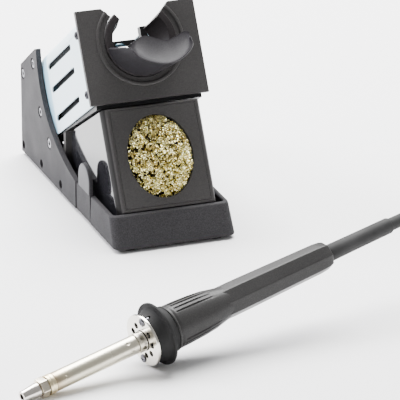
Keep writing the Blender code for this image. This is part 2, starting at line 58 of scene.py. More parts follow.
JOINT = {joint["name"]: joint for joint in frame["joints"]}
HEAD = (Matrix.Translation(JOINT["holder_tilt"]["pos_m"]) @ Matrix.Rotation(-LEAN, 4, "X")
        @ Matrix.Translation(-PIVOT * MM))
REST = Matrix.Translation(HEAD.translation - FACE_FOOT * MM)

TIP_R = 3.2
GUARD_R = 18.1
GUARD_AT = 90.0
HAND_TURN = math.radians(15.3)
HAND_TILT = math.atan((GUARD_R - TIP_R) / GUARD_AT)
TIP_AT = Vector((-120.06, -176.61, TIP_R * math.cos(HAND_TILT)))


def hand_frame():
    """Z runs from the nozzle's mouth to the rear, Y points up."""
    z = Vector((math.cos(HAND_TURN) * math.cos(HAND_TILT),
                math.sin(HAND_TURN) * math.cos(HAND_TILT), math.sin(HAND_TILT)))
    x = Vector((-math.sin(HAND_TURN), math.cos(HAND_TURN), 0.0))
    turn = Matrix((x, z.cross(x), z)).transposed().to_4x4()
    return Matrix.Translation(TIP_AT * MM) @ turn


HAND = hand_frame()


def spin(degrees, axis):
    return Matrix.Rotation(math.radians(degrees), 4, axis)


def add_object(name, data):
    made = bpy.data.objects.new(name, data)
    bpy.context.collection.objects.link(made)
    return made


# ------ camera, stage and lights
CAMERA_TURN = 20.19          # degrees, as is the drop
CAMERA_DROP = 21.61
CAMERA_RIGHT = 0.03441       # metres, as are the next two
CAMERA_LOWER = 0.03970
CAMERA_BACK = 2.38243


def aim_camera():
    """A long lens from the front left, a little above the bench."""
    turn, drop = math.radians(CAMERA_TURN), math.radians(CAMERA_DROP)
    view = Vector((math.sin(turn) * math.cos(drop), math.cos(turn) * math.cos(drop), -math.sin(drop)))
    right = Vector((math.cos(turn), -math.sin(turn), 0.0))
    up = right.cross(view)
    middle = REST @ Vector((0.0, 0.060, 0.050))
    place = middle + right * CAMERA_RIGHT - up * CAMERA_LOWER - view * CAMERA_BACK
    data = bpy.data.cameras.new("camera")
    data.lens = 360.0
    data.sensor_width = 36.0
    camera = add_object("camera", data)
    camera.matrix_world = Matrix.Translation(place) @ Matrix((right, up, -view)).transposed().to_4x4()
    bpy.context.scene.camera = camera


def area_light(name, place, target, size, power, colour=(1.0, 1.0, 1.0)):
    data = bpy.data.lights.new(name, "AREA")
    data.shape = "RECTANGLE"
    data.size, data.size_y = size
    data.energy = power
    data.color = colour
    light = add_object(name, data)
    light.location = place
    light.rotation_euler = (Vector(target) - Vector(place)).to_track_quat("-Z", "Y").to_euler()


def build_stage():
    floor_mesh = bpy.data.meshes.new("floor")
    floor_mesh.from_pydata([(-4, -4, 0), (4, -4, 0), (4, 4, 0), (-4, 4, 0)], [], [(0, 1, 2, 3)])
    floor_mesh.materials.append(new_material("floor_white", (0.9, 0.9, 0.9), 0.9)[0])
    add_object("floor", floor_mesh)
    world = bpy.data.worlds.new("studio")
    bpy.context.scene.world = world
    world.use_nodes = True
    set_inputs(world.node_tree.nodes["Background"], {"Color": (1.0, 1.0, 1.0, 1.0), "Strength": 0.5})
    area_light("key_left", (-1.20, 0.84, 0.98), (0, 0, 0.03), (0.7, 0.7), 44, (0.95, 0.94, 1.0))
    area_light("top_back", (0.25, 0.80, 1.47), (0, 0, 0), (1.8, 1.2), 170)


# ------ materials
def set_inputs(node, values):
    for name, value in values.items():
        node.inputs[name].default_value = value


def new_material(name, colour, roughness, metallic=0.0, frame_matrix=None):
    """A material and its node helper, in a frame's own axes if one is given."""
    look = bpy.data.materials.new(name)
    look.use_nodes = True
    shader = look.node_tree.nodes["Principled BSDF"]
    set_inputs(shader, {"Base Color": (*colour, 1.0), "Roughness": roughness, "Metallic": metallic})
    return look, Nodes(look.node_tree, shader, frame_matrix)


class Nodes:
    """Short names for the few node patterns that the materials share."""

    def __init__(self, tree, shader, frame_matrix):
        self.tree = tree
        self.shader = shader
        self.place = tree.nodes.new("ShaderNodeTexCoord").outputs["Object"]
        if frame_matrix is not None:
            back = frame_matrix.inverted()
            mapping = tree.nodes.new("ShaderNodeMapping")
            set_inputs(mapping, {"Location": back.to_translation(), "Rotation": back.to_euler()})
            tree.links.new(self.place, mapping.inputs["Vector"])
            self.place = mapping.outputs["Vector"]

    def link(self, source, target):
        self.tree.links.new(source, target)

    def noise(self, scale, detail=4.0, roughness=0.55, stretch=None):
        node = self.tree.nodes.new("ShaderNodeTexNoise")
        set_inputs(node, {"Scale": scale, "Detail": detail, "Roughness": roughness})
        source = self.place
        if stretch:
            mapping = self.tree.nodes.new("ShaderNodeMapping")
            set_inputs(mapping, {"Scale": stretch})
            self.link(source, mapping.inputs["Vector"])
            source = mapping.outputs["Vector"]
        self.link(source, node.inputs["Vector"])
        return node.outputs["Fac"]

    def ramp(self, fac, *stops):
        """Colours (or greys) at positions along a factor."""
        node = self.tree.nodes.new("ShaderNodeValToRGB")
        points = node.color_ramp.elements
        while len(points) < len(stops):
            points.new(0.5)
        for point, (where, value) in zip(points, stops):
            point.position = where
            point.color = (*value, 1.0) if isinstance(value, tuple) else (value, value, value, 1.0)
        self.link(fac, node.inputs["Fac"])
        return node.outputs["Color"]

    def along(self, axis, low, high):
        """0 to 1 along one of the piece's own axes, between two places in metres."""
        split = self.tree.nodes.new("ShaderNodeSeparateXYZ")
        self.link(self.place, split.inputs["Vector"])
        span = self.tree.nodes.new("ShaderNodeMapRange")
        set_inputs(span, {"From Min": low, "From Max": high})
        self.link(split.outputs[axis], span.inputs["Value"])
        return span.outputs["Result"]

    def mix(self, fac, first, second, mode="MIX"):
        node = self.tree.nodes.new("ShaderNodeMix")
        node.data_type = "RGBA"
        node.blend_type = mode
        for socket, value in zip((node.inputs[0], node.inputs[6], node.inputs[7]), (fac, first, second)):
            if isinstance(value, bpy.types.NodeSocket):
                self.link(value, socket)
            elif isinstance(value, tuple):
                socket.default_value = (*value, 1.0)
            else:
                socket.default_value = value
        return node.outputs[2]

    def bump(self, height, strength, distance):
        node = self.tree.nodes.new("ShaderNodeBump")
        set_inputs(node, {"Strength": strength, "Distance": distance})
        self.link(height, node.inputs["Height"])
        self.link(node.outputs["Normal"], self.shader.inputs["Normal"])

    def tint(self, colour):
        self.link(colour, self.shader.inputs["Base Color"])

    def polish(self, fac, *stops):
        """Roughness at positions along a factor."""
        self.link(self.ramp(fac, *stops), self.shader.inputs["Roughness"])


def plastic(name, dark, light, roughness, grain=1500.0, speckle=(0.35, 0.7), bump=0.1, shine=0.12,
            painted_shade_depth=None):
    """Moulded plastic: fine speckle, faint unevenness and grain, and painted shade past a depth if asked.
    """
    look, nodes = new_material(name, dark, roughness, frame_matrix=HEAD if painted_shade_depth else None)
    set_inputs(nodes.shader, {"Specular IOR Level": shine})
    fine = nodes.noise(grain, 3.0, 0.7)
    flecks = nodes.ramp(fine, (speckle[0], dark), (speckle[1], light))
    clouds = nodes.ramp(nodes.noise(22.0, 2.0), (0.3, 0.88), (0.7, 1.0))
    colour = nodes.mix(1.0, flecks, clouds, "MULTIPLY")
    if painted_shade_depth:
        # painted shade: the colour drops to 0.22 of itself between a quarter and six tenths of the depth,
        # back along the leaning frame's Y
        depth = nodes.ramp(nodes.along("Y", 0.0, painted_shade_depth), (0.25, 1.0), (0.6, 0.22))
        colour = nodes.mix(1.0, colour, depth, "MULTIPLY")
    nodes.tint(colour)
    nodes.polish(nodes.noise(60.0, 3.0), (0.3, roughness - 0.06), (0.7, roughness + 0.06))
    nodes.bump(nodes.noise(grain * 1.7, 2.0), bump, 0.0001)
    return look


def gloss_black():
    look, nodes = new_material("gloss_black", (0.012, 0.012, 0.014), 0.07)
    set_inputs(nodes.shader, {"IOR": 1.5, "Coat Weight": 0.5, "Coat Roughness": 0.04})
    nodes.polish(nodes.noise(35.0, 4.0), (0.35, 0.05), (0.75, 0.10))
    clouds = nodes.noise(12.0, 2.0)
    nodes.tint(nodes.ramp(clouds, (0.3, (0.010, 0.010, 0.012)), (0.7, (0.018, 0.018, 0.021))))
    return look


def blue_paint():
    """Very pale blue powder coat with a fine orange-peel, and a painted shadow band along the rear edge
    beside the side panels.
    """
    look, nodes = new_material("pale_blue_coat", (0.72, 0.87, 0.93), 0.38, frame_matrix=HEAD)
    coat = nodes.ramp(nodes.noise(40.0, 3.0), (0.3, (0.72, 0.88, 0.95)), (0.7, (0.79, 0.92, 0.97)))
    # painted shadow: the blue turns darker from about 82 mm back in the leaning frame to the rear edge
    band = nodes.ramp(nodes.along("Y", 0.076, 0.096), (0.30, 1.0), (0.38, (0.50, 0.68, 0.78)))
    nodes.tint(nodes.mix(1.0, coat, band, "MULTIPLY"))
    nodes.bump(nodes.noise(700.0, 2.0), 0.18, 0.0002)
    return look


def rubber(name="black_rubber", grey=0.022):
    look, nodes = new_material(name, (grey, grey, grey), 0.62)
    set_inputs(nodes.shader, {"Specular IOR Level": 0.07})
    nodes.tint(nodes.ramp(nodes.noise(45.0, 4.0), (0.3, grey * 0.75), (0.75, grey * 1.5)))
    nodes.polish(nodes.noise(180.0, 3.0), (0.3, 0.55), (0.7, 0.72))
    nodes.bump(nodes.noise(1500.0, 2.0), 0.2, 0.0001)
    return look


def warm_steel():
    """Brushed barrel steel with straw and brown heat tints towards the nozzle."""
    look, nodes = new_material("heated_steel", (0.72, 0.66, 0.57), 0.3, 1.0, HAND)
    heat = nodes.along("Z", 0.0, 0.080)
    tint = nodes.ramp(heat, (0.0, (0.30, 0.27, 0.25)), (0.14, (0.42, 0.39, 0.36)),
                      (0.255, (0.55, 0.44, 0.30)), (0.31, (0.70, 0.61, 0.45)), (0.40, (0.74, 0.69, 0.54)),
                      (0.93, (0.80, 0.75, 0.62)), (1.0, (0.90, 0.87, 0.80)))
    streaks = nodes.ramp(nodes.noise(55.0, 5.0, 0.6, (1.0, 1.0, 0.25)), (0.3, 0.80), (0.7, 1.0))
    nodes.tint(nodes.mix(1.0, tint, streaks, "MULTIPLY"))
    nodes.polish(nodes.noise(900.0, 2.0, 0.5, (0.04, 0.04, 1.0)), (0.3, 0.27), (0.7, 0.34))
    return look


def metal(name, colour, low, high):
    """Bare or plated metal whose roughness wanders between two values."""
    look, nodes = new_material(name, colour, low, 1.0)
    nodes.polish(nodes.noise(130.0, 5.0, 0.6), (0.3, low), (0.75, high))
    shade = tuple(c * 0.86 for c in colour)
    nodes.tint(nodes.ramp(nodes.noise(40.0, 4.0), (0.35, shade), (0.7, colour)))
    return look


def brass_shavings():
    """Bright brass turnings with browner tufts."""
    look, nodes = new_material("brass_shavings", (0.97, 0.85, 0.46), 0.16, 1.0)
    nodes.tint(nodes.ramp(nodes.noise(230.0, 3.0, 0.7), (0.34, (0.30, 0.22, 0.07)),
                          (0.44, (0.90, 0.79, 0.36)), (0.58, (1.0, 0.95, 0.52))))
    nodes.polish(nodes.noise(130.0, 5.0, 0.6), (0.3, 0.12), (0.75, 0.26))
    return look


def woven_strap():
    look, nodes = new_material("woven_strap", (0.02, 0.02, 0.02), 0.85)
    wave = nodes.tree.nodes.new("ShaderNodeTexWave")
    set_inputs(wave, {"Scale": 900.0})
    nodes.link(nodes.place, wave.inputs["Vector"])
    nodes.tint(nodes.ramp(wave.outputs["Fac"], (0.2, 0.012), (0.8, 0.035)))
    nodes.bump(wave.outputs["Fac"], 0.5, 0.0002)
    return look


EVEN_SPECKLE = (0.4, 0.7)

LOOKS = {
    "panel": plastic("grained_anthracite", (0.030, 0.029, 0.031), (0.056, 0.054, 0.057), 0.48, bump=0.25,
                     shine=0.05),
    "ear": plastic("smooth_anthracite", (0.066, 0.065, 0.071), (0.084, 0.083, 0.089), 0.36, 1600.0),
    "dark": plastic("anthracite", (0.044, 0.042, 0.042), (0.064, 0.061, 0.060), 0.42, bump=0.2),
    # the anthracite again, with painted shade on the box frame's sides from about 0.6 to 1.5 mm behind its
    # front
    "edge": plastic("edge_anthracite_painted_shade", (0.044, 0.042, 0.042), (0.064, 0.061, 0.060), 0.42, bump=0.2,
                    shine=0.06, painted_shade_depth=0.0025),
    "inner": plastic("inner_black", (0.012, 0.012, 0.013), (0.022, 0.022, 0.023), 0.30, 1400.0),
    "gloss": gloss_black(),
    "blue": blue_paint(),
    "rubber": rubber(),
    "sleeve": rubber("grey_rubber", 0.040),
    "chrome": metal("chrome_plate", (0.86, 0.85, 0.82), 0.08, 0.2),
    "zinc": metal("dulled_screws", (0.14, 0.14, 0.155), 0.20, 0.32),
    "blackened": metal("blackened_screws", (0.035, 0.035, 0.04), 0.25, 0.4),
    "plate": metal("bright_plate", (0.80, 0.77, 0.70), 0.10, 0.24),
    "nozzle": metal("bright_nozzle", (0.76, 0.71, 0.66), 0.12, 0.28),
    "nut": metal("plated_nut", (0.88, 0.80, 0.66), 0.14, 0.26),
    "barrel": warm_steel(),
    "satin": plastic("satin_black", (0.018, 0.017, 0.019), (0.028, 0.026, 0.029), 0.40, 1300.0,
                     EVEN_SPECKLE, shine=0.07),
    "funnel": plastic("funnel_black", (0.024, 0.021, 0.022), (0.036, 0.032, 0.033), 0.46, 1300.0,
                      EVEN_SPECKLE),
    "brass": metal("warm_brass", (0.92, 0.79, 0.52), 0.26, 0.40),
    "shavings": brass_shavings(),
    # painted shade: the wool core's dark brown stands for the shaded depths of the brass ball
    "core": plastic("wool_core", (0.030, 0.020, 0.010), (0.085, 0.058, 0.026), 0.7, 400.0, (0.42, 0.62),
                    0.25),
    "handle": plastic("soft_handle", (0.034, 0.033, 0.033), (0.050, 0.049, 0.048), 0.34, 1500.0,
                      EVEN_SPECKLE, 0.15),
    "strap": woven_strap(),
}


# ------ mesh helpers
def add_step(piece, kind, **settings):
    step = piece.modifiers.new(kind.lower(), kind)
    for name, value in settings.items():
        setattr(step, name, value)


def apply_steps(piece):
    """Keep what a piece's modifiers make, and drop the modifiers."""
    bpy.context.view_layer.update()
    graph = bpy.context.evaluated_depsgraph_get()
    shaped = bpy.data.meshes.new_from_object(piece.evaluated_get(graph))
    piece.modifiers.clear()
    piece.data = shaped


def as_object(bm, name, frame_matrix):
    """An object in a frame from a bmesh in millimetres, which is used up."""
    bmesh.ops.remove_doubles(bm, verts=bm.verts, dist=MERGE)
    bmesh.ops.recalc_face_normals(bm, faces=bm.faces)
    bmesh.ops.scale(bm, vec=(MM, MM, MM), verts=bm.verts)
    mesh = bpy.data.meshes.new(name)
    bm.to_mesh(mesh)
    bm.free()
    piece = add_object(name, mesh)
    piece.matrix_world = frame_matrix
    return piece


def finish_mesh(name, bm, look, frame_matrix, bevel=0.0, angle=30.0, cutters=(), added=(), weighted=True):
    """Turn a bmesh in millimetres into a finished object: joined, cut, bevelled and shaded."""
    piece = as_object(bm, name, frame_matrix)
    tools = []
    for operation, shapes in (("UNION", added), ("DIFFERENCE", cutters)):
        for shape in shapes:
            tool = as_object(shape, name + "_tool", frame_matrix)
            tools.append(tool)
            add_step(piece, "BOOLEAN", operation=operation, object=tool, solver="EXACT")
    if bevel:
        add_step(piece, "BEVEL", width=bevel * MM, segments=2, limit_method="ANGLE",
                 angle_limit=math.radians(angle), use_clamp_overlap=True)
    apply_steps(piece)
    for tool in tools:
        bpy.data.objects.remove(tool, do_unlink=True)
    piece.data.transform(frame_matrix)
    piece.matrix_world = Matrix.Identity(4)
    piece.data.shade_smooth()
    piece.data.set_sharp_from_angle(angle=math.radians(34))
    if weighted:
        add_step(piece, "WEIGHTED_NORMAL", keep_sharp=True)
        apply_steps(piece)
    piece.data.name = name
    piece.data.materials.clear()
    piece.data.materials.append(look)
    return piece


def show(name, bm, look, frame_matrix, body, slot, replaces=(), **shape):
    """Finish a piece and hang it on its body."""
    piece = finish_mesh(name, bm, LOOKS[look], frame_matrix, **shape)
    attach(piece, body)
    if replaces:
        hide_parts(*replaces)
    return piece


def loft(sections):
    """A closed solid through outlines that have the same number of points."""
    bm = bmesh.new()
    rings = [[bm.verts.new(point) for point in section] for section in sections]
    for low, high in zip(rings, rings[1:]):
        for i, corner in enumerate(low):
            j = (i + 1) % len(low)
            bm.faces.new((corner, low[j], high[j], high[i]))
    bm.faces.new(rings[0][::-1])
    bm.faces.new(rings[-1])
    return bm


def prism(outline, low, high, along):
    """Extrude an outline of the other two coordinates from low to high."""
    order = {"X": lambda a, b, c: (c, a, b), "Y": lambda a, b, c: (a, c, b), "Z": lambda a, b, c: (a, b, c)}
    point = order[along]
    return loft([[point(a, b, c) for a, b in outline] for c in (low, high)])


def block(x0, x1, y0, y1, z0, z1):
    return prism([(x0, y0), (x1, y0), (x1, y1), (x0, y1)], z0, z1, "Z")


def swept(start, pull, end, steps):
    """Points on the quadratic curve from start to end that leans towards pull."""
    ts = [i / steps for i in range(steps + 1)]
    return [start * (1 - t) ** 2 + pull * 2 * t * (1 - t) + end * t ** 2 for t in ts]


def arc(centre, radius, start, end, steps):
    """Points on an arc or an ellipse; angles in degrees."""
    rx, ry = radius if isinstance(radius, tuple) else (radius, radius)
    turns = [math.radians(start + (end - start) * i / steps) for i in range(steps + 1)]
    return [(centre[0] + rx * math.cos(t), centre[1] + ry * math.sin(t)) for t in turns]


def ring_of(centre, radius, steps):
    return arc(centre, radius, 0, 360 - 360 / steps, steps - 1)


def polar(radius, degrees):
    turn = math.radians(degrees)
    return radius * math.cos(turn), radius * math.sin(turn)


def turned(profile, sides):
    """Spin a profile of (radius, along) about Z; it is closed unless it starts on the axis."""
    bm = bmesh.new()
    verts = [bm.verts.new((r, 0.0, z)) for r, z in profile]
    edges = [bm.edges.new((a, b)) for a, b in zip(verts, verts[1:])]
    if profile[0][0] > 0:
        edges.append(bm.edges.new((verts[-1], verts[0])))
    bmesh.ops.spin(bm, geom=verts + edges, cent=(0, 0, 0), axis=(0, 0, 1),
                   angle=math.tau, steps=sides, use_merge=True)
    bmesh.ops.remove_doubles(bm, verts=bm.verts, dist=MERGE)
    return bm


def rod(radius, low, high, sides=40):
    return turned([(0, low), (radius, low), (radius, high), (0, high)], sides)


def rounded(profile, radius, steps=3):
    """A closed (radius, along) profile with its corners rounded off, except on the axis."""
    done = []
    for i, point in enumerate(profile):
        here = Vector(point)
        before, after = Vector(profile[i - 1]) - here, Vector(profile[(i + 1) % len(profile)]) - here
        reach = min(radius, before.length * 0.45, after.length * 0.45)
        if point[0] <= 0 or abs(before.angle(after) - math.pi) < NEARLY_STRAIGHT:
            done.append(point)
            continue
        start, end = here + before.normalized() * reach, here + after.normalized() * reach
        done += [tuple(knot) for knot in swept(start, here, end, steps)]
    return done


def moved(bm, matrix=None, offset=(0, 0, 0)):
    if matrix is not None:
        bmesh.ops.transform(bm, matrix=matrix, verts=bm.verts)
    bmesh.ops.translate(bm, vec=offset, verts=bm.verts)
    return bm


def rods_round(ring, angles, radius, low, high, sides):
    """Rods parallel to Z, at angles round a ring."""
    return [moved(rod(radius, low, high, sides), offset=(*polar(ring, angle), 0)) for angle in angles]


ALONG_X = spin(90, "Y")
QUARTER_TURN = spin(90, "Z")
ALONG_BACK = spin(-90, "X")


# ------ lead
CORD_R = 3.75
RELIEF_END = 252.0
COIL_AT = Vector((246.8, -67.0))
COIL_R = 38.5
STEP = 2 * CORD_R
STRAP_TOP = 2 * STEP + GAP
STRAP_THICK = 1.2
SHELL_END = 27
TOP_ROW = CORD_R + STEP
COIL_SIDE = COIL_AT.x + COIL_R + STEP
FREE_ROUTE = (            # from the strain relief: across the bench, sideways, and the height
    (11.8, 3.2, 46.1), (20, 5.2, 46.6), (28, 6.6, 45.3), (36, 7.2, 41.6), (44, 7.0, 35.6), (52, 6.0, 28.4),
    (60, 4.4, 21.4), (68, 2.6, 14.8), (76, 0.9, 9.4), (84, -0.6, 5.7), (91, -1.5, 4.1), (97.5, -2.0, 3.9),
)
TAIL_ROUTE = ((8, 11.25), (17, 11.2), (26.4, 11.1), (34.8, 10.7), (42.9, 10.4))   # along, and the height
COIL_TURNS = (            # angle in degrees, then rows out from the middle row and rows up
    (-90, 1, 0), (180, 1, 0), (270, 0, 0), (540, 0, 0), (630, -1, 0), (855, -1, 0), (925, -1, 1),
    (1080, -1, 1), (1180, 0, 1), (1290, 1, 1), (1440, 1, 1),
)


def eased(t):
    return t * t * (3 - 2 * t)


def coil_points():
    """Three rings of turns side by side on the bench, and the last turns on top of them."""
    points = []
    for (a0, r0, h0), (a1, r1, h1) in zip(COIL_TURNS, COIL_TURNS[1:]):
        count = round((a1 - a0) / 12)
        for i in range(count):
            t = i / count
            turn = math.radians(a0 + (a1 - a0) * t)
            radius = COIL_R + STEP * (r0 + (r1 - r0) * eased(t))
            height = CORD_R + STEP * (h0 + (h1 - h0) * eased(t))
            points.append(Vector((COIL_AT.x + radius * math.cos(turn), COIL_AT.y + radius * math.sin(turn),
                                  height)))
    return points


def catmull_rom(a, b, c, d, t):
    """A point between b and c on the smooth curve through four points."""
    return 0.5 * (2 * b + (c - a) * t + (2 * a - 5 * b + 4 * c - d) * t ** 2
                  + (3 * b - a - 3 * c + d) * t ** 3)


def smooth_route(points, step):
    """Evenly spaced points on a Catmull-Rom curve through a route."""
    ends = [points[0] * 2 - points[1], *points, points[-1] * 2 - points[-2]]
    dense = []
    for four in zip(ends, ends[1:], ends[2:], ends[3:]):
        dense += [catmull_rom(*four, i / 40) for i in range(40)]
    even = [dense[0]]
    for point in dense:
        if (point - even[-1]).length >= step:
            even.append(point)
    return even + [points[-1]]


def lead_route(exit_at):
    """The whole lead's middle line: relief, bench, coil and connector."""
    start = Vector((exit_at.x, exit_at.y, 0))
    free = smooth_route([exit_at] + [start + Vector(place) for place in FREE_ROUTE], 4.0)
    tail = [Vector((COIL_SIDE, COIL_AT.y + along, height)) for along, height in TAIL_ROUTE]
    join_at = COIL_AT.y - COIL_R - STEP
    lead_in = [Vector((x, free[-1].y + (join_at - free[-1].y) * t, CORD_R))
               for x, t in ((free[-1].x + 9, 0.45), (free[-1].x + 19, 0.9))]
    return free + lead_in + coil_points() + [Vector((COIL_SIDE, COIL_AT.y, TOP_ROW))] + tail


def build_lead():
    """The lead as one smooth tube, the place where it starts and its length."""
    exit_at = (HAND @ Vector((0, 0, (RELIEF_END + GAP) * MM))) / MM
    points = lead_route(exit_at)
    curve = bpy.data.curves.new("lead", "CURVE")
    curve.dimensions = "3D"
    curve.bevel_depth = CORD_R * MM
    curve.bevel_resolution = 6
    curve.use_fill_caps = True
    spline = curve.splines.new("POLY")
    spline.points.add(len(points) - 1)
    for knot, point in zip(spline.points, points):
        knot.co = (*(point * MM), 1.0)
    spline.use_smooth = True
    curve.materials.append(LOOKS["sleeve"])
    lead = add_object("lead", curve)
    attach(lead, "handpiece")
    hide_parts("lead_cord", "lead_coil", "lead_tail")
    length = sum((b - a).length for a, b in zip(points, points[1:])) * MM
    return lead, exit_at * MM, length


def strap_outline(grow):
    """Over the coil from one side to the other, open towards the bench."""
    low, high = COIL_R - 1.5 * STEP - 1.0 - grow, COIL_R + 1.5 * STEP + 0.15 + grow
    roof, corner = STRAP_TOP + grow, 2.0 + grow
    return ([(low, 0.3)] + arc((low + corner, roof - corner), corner, 180, 90, 8)
            + arc((high - corner, roof - corner), corner, 90, 0, 8) + [(high, 0.3)])


def build_tie():
    """Woven strap over the coil, with its buckle."""
    place = Matrix.Translation(Vector((COIL_AT.x, COIL_AT.y, 0)) * MM)
    band = prism(strap_outline(STRAP_THICK) + strap_outline(0.0)[::-1], -6, 6, "X")
    strap = show("lead_strap", band, "strap", place, "handpiece", "fabric_strap", ["lead_tie"], bevel=0.25)
    ends = arc((COIL_R - 5, 0), 3.0, 90, 270, 6) + arc((COIL_R + 5, 0), 3.0, -90, 90, 6)
    buckle = moved(prism(ends, STRAP_TOP + 1.25, STRAP_TOP + 1.75, "Z"), QUARTER_TURN)
    clip = show("strap_buckle", buckle, "dark", place, "handpiece", "fabric_strap", bevel=0.15)
    return [strap, clip]


def relief_profile():
    """The connector's ribbed rubber boot."""
    profile = [(0, -16), (4.3, -16)]
    for i in range(4):
        z = -14.5 + i * 3.6
        rib, groove = 4.45 + i * 0.24, 4.0 + i * 0.22
        profile += [(rib, z), (rib, z + 1.7), (groove, z + 2.0), (groove, z + 3.2)]
    return profile + [(5.6, -1.2), (5.6, -GAP), (0, -GAP)]


def build_connector():
    """Round screw-ring connector at the end of the lead, lying beside the coil."""
    place = Matrix.Translation(Vector((COIL_SIDE, COIL_AT.y + 59.3, 10.4)) * MM) @ ALONG_BACK
    boot = show("connector_boot", turned(relief_profile(), 48), "rubber", place, "handpiece", "rubber",
                ["plug_relief"], bevel=0.15)
    body = rounded([(0, 0), (8.4, 0), (9.2, 1.0), (9.2, 26), (8.2, SHELL_END), (0, SHELL_END)], 0.6)
    shell = show("connector_shell", turned(body, 72), "handle", place, "handpiece", "handle_plastic",
                 ["plug_body"], cutters=rods_round(9.35, range(0, 360, 15), 0.55, 3, 22, 10), bevel=0.1)
    ring = rounded([(8.0, SHELL_END + GAP), (9.6, SHELL_END + GAP), (10.4, 28), (10.4, 40), (9.8, 41),
                    (8.0, 41)], 0.3)
    collar = show("connector_ring", turned(ring, 90), "chrome", place, "handpiece", "chrome",
                  ["plug_ring"], cutters=rods_round(10.6, range(0, 360, 12), 0.5, 28.6, 39.4, 8))
    face = rounded([(0, SHELL_END + GAP), (7.6, SHELL_END + GAP), (7.6, 37), (0, 37)], 0.4)
    holes = rods_round(4.6, range(30, 360, 60), 0.75, 33, 40, 14)
    holes += [block(-1.2, 1.2, 6.2, 9, 35, 40), rod(0.75, 33, 40, 14)]
    insert = show("connector_face", turned(face, 56), "dark", place, "handpiece", "dark_plastic",
                  ["plug_face"], cutters=holes, bevel=0.1)
    return [boot, shell, collar, insert]


# ------ rest: base
HALF_WIDTH = 38.0
LENGTH = 178.0
BASE_Z = 2.0
TRAY_TOP = 19.8
TRAY_END = 46.5
WALL = 3.2
PAN_TOP = 4.8
PAN_HALF = 34.2
INSERTS = ((174.0, 54.2), (153.8, 67.2), (140.2, 40.5))
SMALL_HOLES = ((174.6, 7.0), (138.8, 7.3), (101.8, 7.1))
PIVOT_AT = (123.17, 26.06)
INSERT_SEAT = ((0, -1), (4.2, -1), (3.5, 0.35), (3.5, 1.7), (1.9, 1.7), (1.9, 5), (0, 5))
PIVOT_SEAT = ((0, -1), (4.2, -1), (3.6, 0.45), (3.6, 1.6), (2.4, 1.6), (2.4, 5), (0, 5))
TAB_FRONT = 47.2
EAR_R = 10.3
FEET = {"front_left": (-27, 10), "front_right": (27, 10), "rear_left": (-27, 164), "rear_right": (27, 164)}


def tray_outline(z, inset, corner=5.0):
    """The front tray's outline at a height, with its leaning front wall."""
    rise = (z - BASE_Z) / (TRAY_TOP - BASE_Z)
    half = HALF_WIDTH - 0.8 * rise - inset
    front = 9.9 * rise + inset
    corner = max(corner - inset, 1.5)
    outline = (arc((-half + corner, front + corner), corner, 180, 270, 12)
               + arc((half - corner, front + corner), corner, 270, 360, 12)
               + arc((half - 0.6, TRAY_END - 0.6), 0.6, 0, 90, 3)
               + arc((-half + 0.6, TRAY_END - 0.6), 0.6, 90, 180, 3))
    return [(x, y, z) for x, y in outline]


def build_tray():
    """Front tray, floor pan and the cross wall that the holder rests on."""
    walls = loft([tray_outline(z, inset) for z, inset in (
        (BASE_Z, 0.8), (BASE_Z + 0.3, 0.25), (BASE_Z + 0.9, 0.0), (TRAY_TOP - 1.3, 0.0),
        (TRAY_TOP - 0.45, 0.3), (TRAY_TOP, 1.1))])
    inner = [[(x, y + (40 if y > 30 else 0), z) for x, y, _ in tray_outline(z, inset)]
             for z, inset in ((PAN_TOP, WALL + 0.8), (PAN_TOP + 1.2, WALL), (TRAY_TOP - 0.6, WALL - 0.2),
                              (TRAY_TOP + 0.4, WALL - 1.2))]
    show("tray_front", walls, "panel", REST, "base", "dark_plastic", ["base_tray"], cutters=[loft(inner)])
    pan = block(-PAN_HALF, PAN_HALF, TRAY_END - 4, LENGTH - 4, BASE_Z, PAN_TOP)
    ribs = [block(x - 0.8, x + 0.8, 60, 100, PAN_TOP - 1, PAN_TOP + 3) for x in (-24, 24)]
    show("floor_pan", pan, "dark", REST, "base", "dark_plastic", added=ribs, bevel=0.4)
    stop = [(102.5, PAN_TOP + 0.05), (106.5, PAN_TOP + 0.05), (106.5, 38.4), (102.5, 40.7)]
    show("holder_stop", prism(stop, -PAN_HALF, PAN_HALF, "X"), "dark", REST, "base", "dark_plastic",
         bevel=0.6)


def build_rear_wall():
    wall = block(-34.4, 34.4, 174.6, 177.4, PAN_TOP + GAP, 57.0)
    show("rear_wall_moulded", wall, "dark", REST, "base", "dark_plastic", ["rear_wall"], bevel=0.6)


def panel_outline():
    """Side panel seen from the side: a concave front edge that sweeps up to the rear."""
    sweep = swept(Vector((73.2, 19.3)), Vector((141.0, 31.0)), Vector((146.8, 79.0)), 36)
    return [(73.2, BASE_Z + 0.2), *(tuple(point) for point in sweep), (149.4, 78.2), (LENGTH, 59.0),
            (LENGTH, BASE_Z + 0.2)]


def side_turn(side, y, z):
    """+Z inwards from a side panel's outer face."""
    return Matrix.Translation((side * HALF_WIDTH, y, z)) @ spin(-90 * side, "Y")


def socket_head(radius, start, thick, shank, deep, hexagon):
    """A screw, +Z into the part from a depth, and the cutter for its hex socket."""
    profile = rounded([(0, start), (radius, start), (radius, start + thick), (shank, start + thick),
                       (shank, deep), (0, deep)], 0.35)
    return turned(profile, 40), prism(ring_of((0, 0), hexagon, 6), start - 1, start + thick * 0.7, "Z")


